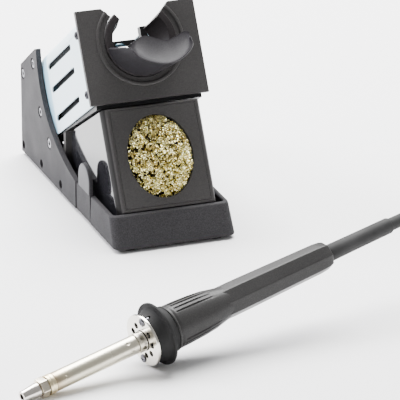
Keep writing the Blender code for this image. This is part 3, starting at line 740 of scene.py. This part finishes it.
def build_side(side, name):
    """A side panel, its three screws and the holder's hinge screw."""
    cutters = [moved(turned(INSERT_SEAT, 40), side_turn(side, *at)) for at in INSERTS]
    cutters.append(moved(turned(PIVOT_SEAT, 40), side_turn(side, *PIVOT_AT)))
    cutters += [moved(rod(2.7, -1, 5, 32), side_turn(side, *at)) for at in SMALL_HOLES]
    low, high = sorted((side * (HALF_WIDTH - WALL), side * HALF_WIDTH))
    show(f"panel_{name}", prism(panel_outline(), low, high, "X"), "panel", REST, "base", "grey_plastic",
         [f"side_panel_{name}"], cutters=cutters, bevel=0.55)
    screws = [(f"side_screw_{name}_{i}", f"panel_screw_{name}_{i}", at, (2.8, 0.3, 0.9, 1.5, 3.4, 1.35))
              for i, at in enumerate(INSERTS, 1)]
    screws.append((f"hinge_screw_{name}", f"pivot_screw_{name}", PIVOT_AT,
                   (3.2, 0.2, 1.05, 2.0, 8.2, 1.55)))
    for piece_name, node, at, sizes in screws:
        turn = side_turn(side, *at)
        head, socket = socket_head(*sizes)
        show(piece_name, moved(head, turn), "zinc", REST, "base", "chrome", [node],
             cutters=[moved(socket, turn)])


def build_tab(side, name):
    """Springy tongue with a round ear, and the ear's smooth outer face."""
    ear_at = (TAB_FRONT + EAR_R, 26.2)
    outline = [(TAB_FRONT, BASE_Z + 0.3), (72.4, BASE_Z + 0.3), (72.4, 19.3), (TAB_FRONT + 2 * EAR_R, 19.3)]
    outline += arc(ear_at, EAR_R, 0, 180, 48)
    face = [(TAB_FRONT + 0.5, 19.8), (TAB_FRONT + 2 * EAR_R - 0.5, 19.8)]
    face += arc(ear_at, EAR_R - 0.5, 0, 180, 48)
    layers = (
        (f"tab_{name}_moulded", outline, HALF_WIDTH - 2.6, HALF_WIDTH - GAP, "panel", 0.45),
        (f"ear_{name}_face", face, HALF_WIDTH - 0.5, HALF_WIDTH, "ear", 0.15),
    )
    for piece_name, shape, inside, outside, look, bevel in layers:
        low, high = sorted((side * inside, side * outside))
        show(piece_name, prism(shape, low, high, "X"), look, REST, f"tab_{name}", "grey_plastic",
             [f"release_tab_{name}"], bevel=bevel)


def build_feet():
    pad = rounded([(0, 0), (5.9, 0), (6.2, 0.5), (6.2, BASE_Z - GAP), (0, BASE_Z - GAP)], 0.3)
    for name, (x, y) in FEET.items():
        show(f"pad_{name}", moved(turned(pad, 48), offset=(x, y, 0)), "rubber", REST, "base", "rubber",
             [f"foot_{name}"])


# ------ rest: tilting holder
PLATE_HALF = 37.0
PLATE_LOW = 65.5
PLATE_TOP = 122.5
PLATE_THICK = 3.0
BORE_UP = 101.0
HOLDER_START = PLATE_THICK + GAP
SHEET = 0.9
COVER_HALF = 34.3
COVER_END = 97.0
COVER_SCREWS = ((11.0, 74.0), (11.0, 110.0))
CHANNEL_HALF = 32.9
CHANNEL_INNER = 30.9
CHANNEL_LOW = 63.3
CHANNEL_FLOOR = 65.3
CHANNEL_WALLS = 69
CHANNEL_END = 84.0
GUIDE_R = 9.8
COLLAR_R = 21.9


def build_head_plate():
    plate = block(-PLATE_HALF, PLATE_HALF, 0.0, PLATE_THICK, PLATE_LOW, PLATE_TOP)
    bead = rounded([(25.1, 0.5), (25.1, -0.5), (25.6, -1.0), (26.8, -1.0), (27.3, -0.5), (27.3, 0.5)], 0.45)
    notch = [(0, PLATE_TOP - 21), (29, PLATE_TOP + 8), (-29, PLATE_TOP + 8)]
    bore = moved(rod(22.3, -5, 8, 128), ALONG_BACK, (0, 0, BORE_UP))
    show("head_plate_moulded", plate, "dark", HEAD, "holder", "dark_plastic", ["head_plate"],
         added=[moved(turned(bead, 128), ALONG_BACK, (0, 0, BORE_UP))],
         cutters=[bore, prism(notch, -5, 8, "Y")], bevel=0.45)


def cover_section(y, low, shoulder, top):
    """The bent sheet's closed outline, outside and inside."""
    corner = top - shoulder
    outer = [(-COVER_HALF, low)] + arc((-COVER_HALF + corner, shoulder), corner, 180, 90, 16)
    outer += arc((COVER_HALF - corner, shoulder), corner, 90, 0, 16) + [(COVER_HALF, low)]
    half, bend = COVER_HALF - SHEET, corner - SHEET
    inner = [(half, low)] + arc((half - corner + SHEET, shoulder), bend, 0, 90, 16)
    inner += arc((-half + corner - SHEET, shoulder), bend, 90, 180, 16) + [(-half, low)]
    return [(x, y, z) for x, z in outer + inner]


def build_cover():
    """The bent sheet, slotted in its sides and open on top, and its four screws."""
    sheet = loft([cover_section(HOLDER_START, 66.2, 112.0, 121.0),
                  cover_section(COVER_END, 63.6, 106.5, 115.5)])
    cutters = []
    for up in (75.3, 93.0, 107.2):
        slot = arc((31.0, up), 1.9, 90, 270, 12) + arc((78.6, up - 2.6), 1.9, -90, 90, 12)
        cutters.append(prism(slot, -40, 40, "X"))
    for y, z in COVER_SCREWS:
        cutters.append(moved(rod(1.5, -40, 40, 20), ALONG_X, (0, y, z)))
    cutters.append(block(-24, 24, -5, COVER_END - 6, 105, 130))
    show("cover_sheet", sheet, "blue", HEAD, "holder", "blue_paint", ["holder_cover"], cutters=cutters,
         bevel=0.3)
    places = [(side, y, z) for side in (-1, 1) for y, z in COVER_SCREWS]
    for number, (side, y, z) in enumerate(places, 1):
        turn = Matrix.Translation((side * (COVER_HALF + GAP), y, z)) @ spin(90 * side, "Y")
        dome = turned([(0, 0), (2.3, 0), (2.5, 0.25), (2.45, 0.6), (2.1, 1.05), (1.4, 1.32), (0, 1.4)], 40)
        socket = prism(ring_of((0, 0), 1.3, 6), 0.5, 3, "Z")
        show(f"sheet_screw_{number}", moved(dome, turn), "blackened", HEAD, "holder", "chrome",
             [f"cover_screw_{number}"], cutters=[moved(socket, turn)])


def build_channel():
    """Inner channel with its hinge ears, end webs, and a dark sheet behind the slots that stands in for the
    shade inside the cover.
    """
    y, z = PIVOT.y, PIVOT.z
    ear = [(HOLDER_START, CHANNEL_LOW), (y - 9, CHANNEL_LOW), (y - 6, z)] + arc((y, z), 6.0, 180, 360, 24)
    ear += [(y + 6, 66), (y + 2, 80), (CHANNEL_END, 80), (83, CHANNEL_WALLS), (HOLDER_START, CHANNEL_WALLS)]
    right = [(CHANNEL_HALF, CHANNEL_LOW), (CHANNEL_HALF, CHANNEL_WALLS), (CHANNEL_INNER, CHANNEL_WALLS),
             (CHANNEL_INNER, CHANNEL_FLOOR)]
    outline = right + [(-x, z) for x, z in right[::-1]]
    # painted shade: dark sheets set in from both sides of the cover, so that the slots show shade inside
    slot_shade_sheet = [(HOLDER_START, 66), (86, 66), (86, 108.0), (HOLDER_START, 113.0)]
    added = [prism(ear, low, high, "X") for low, high in ((-CHANNEL_HALF, -CHANNEL_INNER),
                                                          (CHANNEL_INNER, CHANNEL_HALF))]
    added += [prism(slot_shade_sheet, low, high, "X") for low, high in ((-31.2, -29.8), (29.8, 31.2))]
    added += [block(-CHANNEL_HALF, CHANNEL_HALF, start, end, CHANNEL_LOW, top)
              for start, end, top in ((HOLDER_START, HOLDER_START + 2, 78), (CHANNEL_END, 86.0, 84.0))]
    show("channel_moulded", prism(outline, HOLDER_START, CHANNEL_END, "Y"), "inner", HEAD, "holder",
         "dark_plastic", ["holder_channel"], added=added,
         cutters=[moved(rod(2.4, -40, 40, 32), ALONG_X, (0, y, z))], bevel=0.35)


def build_guide():
    """Trough that steers the tool, with its foot, upright and holed plate."""
    inner_r = GUIDE_R - 1.5
    outline = arc((0, 0), GUIDE_R, 180, 360, 48) + [(GUIDE_R, 3), (inner_r, 3)]
    outline += arc((0, 0), inner_r, 360, 180, 48) + [(-inner_r, 3), (-GUIDE_R, 3)]
    trough = prism([(x, BORE_UP + z) for x, z in outline], 22, 78, "Y")
    seat = CHANNEL_FLOOR + GAP
    foot = prism([(-7, seat), (7, seat), (7, 67), (1, 67), (1, 92), (-1, 92), (-1, 67), (-7, 67)],
                 40, 58, "Y")
    horn = block(inner_r, GUIDE_R + 2.5, 22, 27, BORE_UP - 2, BORE_UP + 12)
    plate = block(-GUIDE_R, GUIDE_R, 40, 42, BORE_UP - 6, BORE_UP + 7.8)
    show("guide_trough", trough, "inner", HEAD, "holder", "dark_plastic", ["tool_guide"],
         added=[foot, horn, plate], cutters=[moved(rod(6.6, 30, 50, 64), ALONG_BACK, (0, 0, BORE_UP))],
         bevel=0.35)


# angle on the collar, then across and up for the outer rim and for the crest, and how far forward each is
# Each column of the lip: its angle on the collar, and the places of the outer rim and of the crest
# seen from the bore's middle (across, back, up).
LIP_COLUMNS = (
    (188, (-15.6, -25, -8.3), (-15.5, -24, -7.0)), (203, (-14.6, -26, -11.0), (-12.8, -20, -5.4)),
    (226, (-11.6, -26, -14.6), (-8.6, -17, -3.2)), (250, (-4.9, -26, -18.2), (-2.2, -16, -0.8)),
    (272, (3.9, -26, -20.5), (4.3, -16, -3.0)), (296, (11.5, -26, -19.7), (10.5, -16, -5.1)),
    (320, (18.2, -26, -16.4), (16.4, -16, -3.4)), (340, (23.3, -25, -11.2), (22.0, -17, -1.3)),
    (352, (23.9, -23, -6.0), (24.0, -20, -2.6)),
)


def between(rows, t):
    """The smooth curve through rows of numbers, t from 0 to 1."""
    rows = [rows[0] * 2 - rows[1], *rows, rows[-1] * 2 - rows[-2]]
    place = min(t * (len(rows) - 3), len(rows) - 3 - 1e-6)
    i = int(place)
    return catmull_rom(*rows[i:i + 4], place - i)


def lip_section(t):
    """One closed slice of the lip: out along the shell, round the rim, in along the bowl and back."""
    angle = between([Vector((column[0], 0)) for column in LIP_COLUMNS], t).x
    rim, crest = (between([Vector(column[part]) for column in LIP_COLUMNS], t) for part in (1, 2))
    x, z = polar(COLLAR_R - 0.2, angle)
    root = Vector((x, -1.0, z))
    inward = Vector((4.0 - rim.x, 0, 0.5 - rim.z)).normalized()
    dip = Vector(((rim.x + crest.x) / 2, (rim.y + crest.y) / 2 + 1.6, rim.z + 0.42 * (crest.z - rim.z)))
    bowl = swept(rim + inward * 1.3 + Vector((0, 0.9, 0)), dip, crest, 10)
    behind = [point + Vector((0, 1.5, -0.2)) for point in bowl[:1:-1]]
    nose = [rim + inward * 0.35 + Vector((0, -0.55, 0)), rim + inward * 0.95 + Vector((0, -0.25, 0))]
    shell = [root, root.lerp(rim, 0.33) - inward * 0.5, root.lerp(rim, 0.66) - inward * 0.4, rim]
    tuck = [root.lerp(rim, 0.72) + inward * 1.6, root.lerp(rim, 0.35) + inward * 1.5, root + inward * 1.6]
    crown = [crest + Vector((0, 0.1, 0.55)), crest + Vector((0, 0.9, 0.6)), crest + Vector((0, 1.4, 0.1))]
    return [(p.x, p.y, p.z + BORE_UP) for p in shell + nose + bowl + crown + behind + tuck]


def build_insert():
    """Funnel collar, open at the top, and the spoon-shaped lip in front of it."""
    wall = rounded([(13.5, 20.0), (15.3, 20.0), (16.6, 12.0), (COLLAR_R, PLATE_THICK), (COLLAR_R, -2.2),
                    (17.6, -2.2), (14.5, 12.0)], 0.6)
    wedge = [(x, BORE_UP + z) for x, z in [(0, 0)] + arc((0, 0), 40, 46, 129, 12)]
    show("insert_collar", moved(turned(wall, 128), ALONG_BACK, (0, 0, BORE_UP)), "funnel", HEAD, "insert",
         "dark_plastic", ["funnel_insert"], cutters=[prism(wedge, -40, 30, "Y")], bevel=0.3)
    show("insert_lip", loft([lip_section(i / 64) for i in range(65)]), "satin", HEAD, "insert",
         "dark_plastic", ["funnel_insert"])


# ------ rest: cleaning box
BOX_HALF = 30.8
FRONT_HALF = 26.5
BOX_HEIGHT = 62.5
BOX_WALL = 1.8
BOX_SEAM = 6.4
SEAM_GAP = 0.12
OVAL = (20.0, 25.0)
SHAVINGS = 1500
RIBBON_THICK = 0.16
WOOL_AT = Vector((0, 6.0, BOX_HEIGHT / 2))
WOOL_SIZE = Vector((20.9, 13.0, 25.6))


def box_outline(inset):
    """The cleaning box from the side: bottom along the tool's axis, then flat on the tray."""
    top = BOX_HEIGHT - inset
    return [(0.0, inset), (30.0 + inset, inset), (62.0, 19.6 + inset), (70.0 - inset, 31.0),
            (73.5 - inset, 45.0), (72.5 - inset, 52.0), (68.0 - inset, 59.5 - inset), (60.0, top),
            (0.0, top)]


def build_box():
    """Glossy shell, dark front frame with painted shade on its sides, and the panel with the oval opening.
    """
    outer = prism([(max(y, BOX_SEAM), z) for y, z in box_outline(0.0)], -BOX_HALF, BOX_HALF, "X")
    inner = [(y + (3 if y < 1 else 0), z) for y, z in box_outline(BOX_WALL)]
    show("box_body", outer, "gloss", HEAD, "cleaning_box", "gloss_plastic", ["box_shell"],
         cutters=[prism(inner, -BOX_HALF + BOX_WALL, BOX_HALF - BOX_WALL, "X")], bevel=0.5)
    rows = ((0.0, 2.9, 0.9), (0.35, 2.3, 0.35), (1.0, 1.7, 0.0), (2.4, 0.95, 0.0), (4.2, 0.35, 0.0),
            (BOX_SEAM - 0.25, 0.0, 0.0))
    frame_shape = loft([[(x * (BOX_HALF - narrower), y, z) for x, z in (
        (-1, lower), (1, lower), (1, BOX_HEIGHT - lower), (-1, BOX_HEIGHT - lower))]
        for y, narrower, lower in rows])
    window = block(-FRONT_HALF, FRONT_HALF, -2, 8, BOX_WALL, BOX_HEIGHT - BOX_WALL)
    # painted shade: the edge material darkens the frame's sides behind its front
    show("box_frame", frame_shape, "edge", HEAD, "cleaning_box", "dark_plastic", ["box_shell"],
         cutters=[window], bevel=0.2)
    half, low, high = FRONT_HALF - SEAM_GAP, BOX_WALL + SEAM_GAP, BOX_HEIGHT - BOX_WALL - SEAM_GAP
    cone = []
    for y, wider in ((-2, 1.4), (-0.4, 0.5), (0.5, 0.0), (8, 0.0)):
        oval = ring_of((0, BOX_HEIGHT / 2), (OVAL[0] + wider, OVAL[1] + wider), 96)
        cone.append([(x, y, z) for x, z in oval])
    show("box_panel", block(-half, half, -0.1, 2.2, low, high), "dark", HEAD, "cleaning_box",
         "dark_plastic", ["box_front"], cutters=[loft(cone)], bevel=0.12)


def curl(bm, centre, axis, radius, pitch, turns, width, phase):
    """One springy shaving: a flat ribbon wound round an axis."""
    side = axis.orthogonal().normalized()
    other = axis.cross(side)
    count = max(8, round(turns * 11))
    rings = []
    for i in range(count + 1):
        t = i / count
        a = phase + math.tau * turns * t
        out = side * math.cos(a) + other * math.sin(a)
        size = radius * (1 + 0.25 * math.sin(3.1 * t + phase))
        point = centre + out * size + axis * (pitch * turns * (t - 0.5))
        wide = width * (0.35 + 0.65 * math.sin(math.pi * t) ** 0.5) / 2
        thick = out * RIBBON_THICK
        rings.append([bm.verts.new(point + axis * wide), bm.verts.new(point - axis * wide),
                      bm.verts.new(point - axis * wide - thick), bm.verts.new(point + axis * wide - thick)])
    for low, high in zip(rings, rings[1:]):
        for k in range(4):
            bm.faces.new((low[k], low[(k + 1) % 4], high[(k + 1) % 4], high[k]))
    bm.faces.new(rings[0][::-1])
    bm.faces.new(rings[-1])


def build_shavings():
    """A ball of curled brass shavings that crowns out of the oval opening."""
    rng = random.Random(7)
    bm = bmesh.new()
    made = 0
    while made < SHAVINGS:
        u, v = rng.uniform(-1, 1), rng.uniform(-1, 1)
        if u * u + v * v > 0.98:
            continue
        made += 1
        if rng.random() < 0.8 * max(0.0, noise.noise(Vector((u * 3.4, v * 3.4, 2.0))) * 1.4 - 0.45 * u):
            continue
        lump = 0.9 + 0.16 * noise.noise(Vector((u * 2.3, v * 2.3, 4.0)))
        depth = 0.62 + 0.38 * rng.random() ** 0.45
        front = math.sqrt(max(0.0, 1 - u * u - v * v))
        tuft = math.exp(-((u - 0.85) ** 2 + (v + 0.25) ** 2) / 0.03)
        crown = 1 + 0.22 * max(0.0, u) + 0.35 * tuft
        across, forward, up = WOOL_SIZE
        centre = WOOL_AT + Vector((u * across, -forward * front * lump * depth * crown, v * up)) * 0.98
        axis = Vector((rng.gauss(0, 1), rng.gauss(0, 0.45), rng.gauss(0, 1))).normalized()
        curl(bm, centre, axis, rng.uniform(0.5, 1.35), rng.uniform(0.7, 1.9), rng.uniform(0.8, 2.0),
             rng.uniform(0.35, 0.95), rng.uniform(0, math.tau))
    show("wool_shavings", bm, "shavings", HEAD, "cleaning_box", "brass", ["brass_wool"], weighted=False)


def build_wool_core():
    """The lumpy middle of the ball, painted dark brown as the shade deep between the shavings."""
    core = bmesh.new()
    bmesh.ops.create_icosphere(core, subdivisions=4, radius=1.0)
    for vert in core.verts:
        vert.co *= 0.92 + 0.10 * noise.noise(vert.co * 3.0)
    bmesh.ops.scale(core, vec=(19.0, 9.0, 23.6), verts=core.verts)
    # painted shade: a dark ball that shows between the shavings
    show("wool_core", moved(core, offset=(0, 9.0, BOX_HEIGHT / 2)), "core", HEAD, "cleaning_box", "brass",
         ["brass_wool"])


# ------ handpiece
NOZZLE_END = 10.6
BARREL_R = 5.4
DIMPLES = ((128, 68.6), (150, 26.0), (175, 70.0), (222, 68.6), (38, 68.6), (310, 68.6))
SCREW_RING = 12.2
SCREW_ANGLES = (100, 280)
VENT_ANGLES = (20, 60, 140, 180, 220, 260, 300, 340)
GROOVES = (66, 79, 92, 105, 118, 196, 209, 222, 235, 300, 313, 326, 339)


def on_hand(name, bm, look, slot, nodes=(), **shape):
    return show(name, bm, look, HAND, "handpiece", slot, nodes, **shape)


def on_barrel(angle, out, z):
    """A frame on the barrel whose +Z points outwards at an angle."""
    return spin(angle, "Z") @ Matrix.Translation((out, 0, z)) @ ALONG_X


def build_hot_end():
    nozzle = rounded([(1.9, 0), (TIP_R, 0), (3.3, 2.4), (4.1, 9.2), (4.1, NOZZLE_END), (2.9, NOZZLE_END),
                      (2.9, 6.0), (1.9, 2.0)], 0.25)
    on_hand("nozzle", turned(nozzle, 64), "nozzle", "steel", ["nozzle_tip"])
    hexagon = prism(ring_of((0, 0), 5.9, 6), NOZZLE_END + GAP, 15.6, "Z")
    on_hand("hex_nut", hexagon, "nut", "steel", ["nozzle_nut"], cutters=[rod(3.2, 5, 20, 48)], bevel=0.45)
    band = rounded([(3.4, 15.95), (5.6, 15.95), (5.6, 17.2), (5.35, 17.4), (5.35, 17.9), (5.6, 18.1),
                    (5.6, 20.0), (3.4, 20.0)], 0.2)
    on_hand("brass_band", turned(band, 72), "brass", "brass", ["brass_ferrule"])
    tube = rounded([(4.7, 20.35), (BARREL_R, 20.35), (BARREL_R, 74.6), (4.7, 74.6)], 0.3)
    dimple = ((0, -0.55), (0.9, -0.3), (1.4, 0.3), (1.4, 1.0), (0, 1.0))
    dimples = [moved(turned(dimple, 20), on_barrel(angle, BARREL_R, z)) for angle, z in DIMPLES]
    on_hand("barrel_tube", turned(tube, 96), "barrel", "steel", ["barrel"], cutters=dimples)
    sleeve = rounded([(3.2, 74.95), (5.75, 74.95), (5.75, 79.65), (3.2, 79.65)], 0.25)
    vents = [moved(rod(1.15, -2.5, 2.5, 20), on_barrel(angle, 5.0, 77.4)) for angle in range(12, 360, 60)]
    on_hand("barrel_collar", turned(sleeve, 72), "barrel", "steel", ["barrel_sleeve"], cutters=vents)
    on_hand("heater_rod", rod(2.6, 21.0, 96.0, 32), "chrome", "chrome", ["heater_core"])


def build_flange():
    disc = rounded([(5.9, 80), (15.0, 80), (15.0, 81.6), (5.9, 81.6)], 0.4)
    cutters = rods_round(SCREW_RING, SCREW_ANGLES, 1.7, 70, 90, 24)
    cutters += rods_round(8.9, VENT_ANGLES, 1.8, 70, 90, 24)
    on_hand("flange_disc", turned(disc, 96), "plate", "chrome", ["flange"], cutters=cutters, bevel=0.12)
    for number, angle in enumerate(SCREW_ANGLES, 1):
        head = [(0, -0.95), (1.6, -0.9), (2.2, -0.6), (2.4, -0.35), (1.35, -0.35), (1.35, 4.4), (0, 4.4)]
        cross = [block(-0.3, 0.3, -1.5, 1.5, -2, -0.5), block(-1.5, 1.5, -0.3, 0.3, -2, -0.5)]
        place = Matrix.Translation((*polar(SCREW_RING, angle), 80))
        on_hand(f"guard_screw_{number}", moved(turned(head, 40), place), "zinc", "chrome",
                [f"flange_screw_{number}"], cutters=[moved(tool, place) for tool in cross])


def build_guard():
    rim, low = GUARD_AT, 81.95
    profile = [(6.0, low), (13.4, low), (13.8, rim - 5.0), (14.6, rim - 2.6), (15.4, rim - 1.2),
               (16.4, rim - 0.9), (GUARD_R, rim - 0.9), (GUARD_R, rim + 0.6), (16.9, rim + 0.9),
               (15.2, rim + 1.2), (14.0, rim + 2.6), (13.3, rim + 4.6), (13.2, 96.0), (6.0, 96.0)]
    on_hand("guard_collar", turned(rounded(profile, 0.45), 128), "rubber", "rubber", ["hand_guard"],
            cutters=rods_round(SCREW_RING, SCREW_ANGLES, 1.8, 75, 86, 20))


def build_grip():
    """Front grip with three groups of finger grooves."""
    profile = [(6.0, 96.35), (13.3, 96.35), (13.3, 97.3), (12.4, 98.0), (12.4, 98.6), (12.75, 99.4),
               (12.6, 106), (12.1, 116), (11.3, 124), (10.0, 130.5), (8.8, 137.0), (6.0, 137.0)]
    cutters = []
    for angle in GROOVES:
        lean = spin(angle, "Z") @ Matrix.Translation((13.0, 0, 100.6)) @ spin(-2.9, "Y")
        cutters.append(moved(rod(0.85, 0, 25.0, 16), lean))
    on_hand("grip_shell", turned(rounded(profile, 0.5), 128), "handle", "handle_plastic", ["front_grip"],
            cutters=cutters, bevel=0.18, angle=40)


def octagon(half, z):
    """The handle's outline at a height; half is across the flats."""
    return [(x, y, z) for x, y in arc((0, 0), half / math.cos(math.pi / 8), 22.5, 337.5, 7)]


def build_handle():
    """Eight-sided rear handle and the rubber relief that comes out of it."""
    solid = loft([octagon(half, z) for half, z in (
        (8.9, 128.0), (9.0, 140), (8.9, 150), (8.5, 175), (8.1, 200), (7.7, 204.5), (6.9, 207))])
    on_hand("handle_shell", solid, "handle", "handle_plastic", ["rear_handle"],
            cutters=[rod(5.2, 120, 212, 40)], bevel=0.55, angle=20)
    relief = [(0, 198), (4.9, 198), (4.9, 206.8), (4.95, 207.35), (4.85, 216), (4.75, 225), (4.65, 240),
              (4.6, RELIEF_END - 1), (4.2, RELIEF_END), (0, RELIEF_END)]
    on_hand("relief_sleeve", turned(relief, 64), "sleeve", "rubber", ["strain_relief"])


# ------ build
aim_camera()
build_stage()
lead, lead_exit, lead_length = build_lead()
lead_pieces = build_tie() + build_connector()
build_tray()
build_rear_wall()
build_feet()
for side, name in ((-1, "left"), (1, "right")):
    build_side(side, name)
    build_tab(side, name)
build_head_plate()
build_cover()
build_channel()
build_guide()
build_insert()
build_box()
build_shavings()
build_wool_core()
build_hot_end()
build_flange()
build_guard()
build_grip()
build_handle()
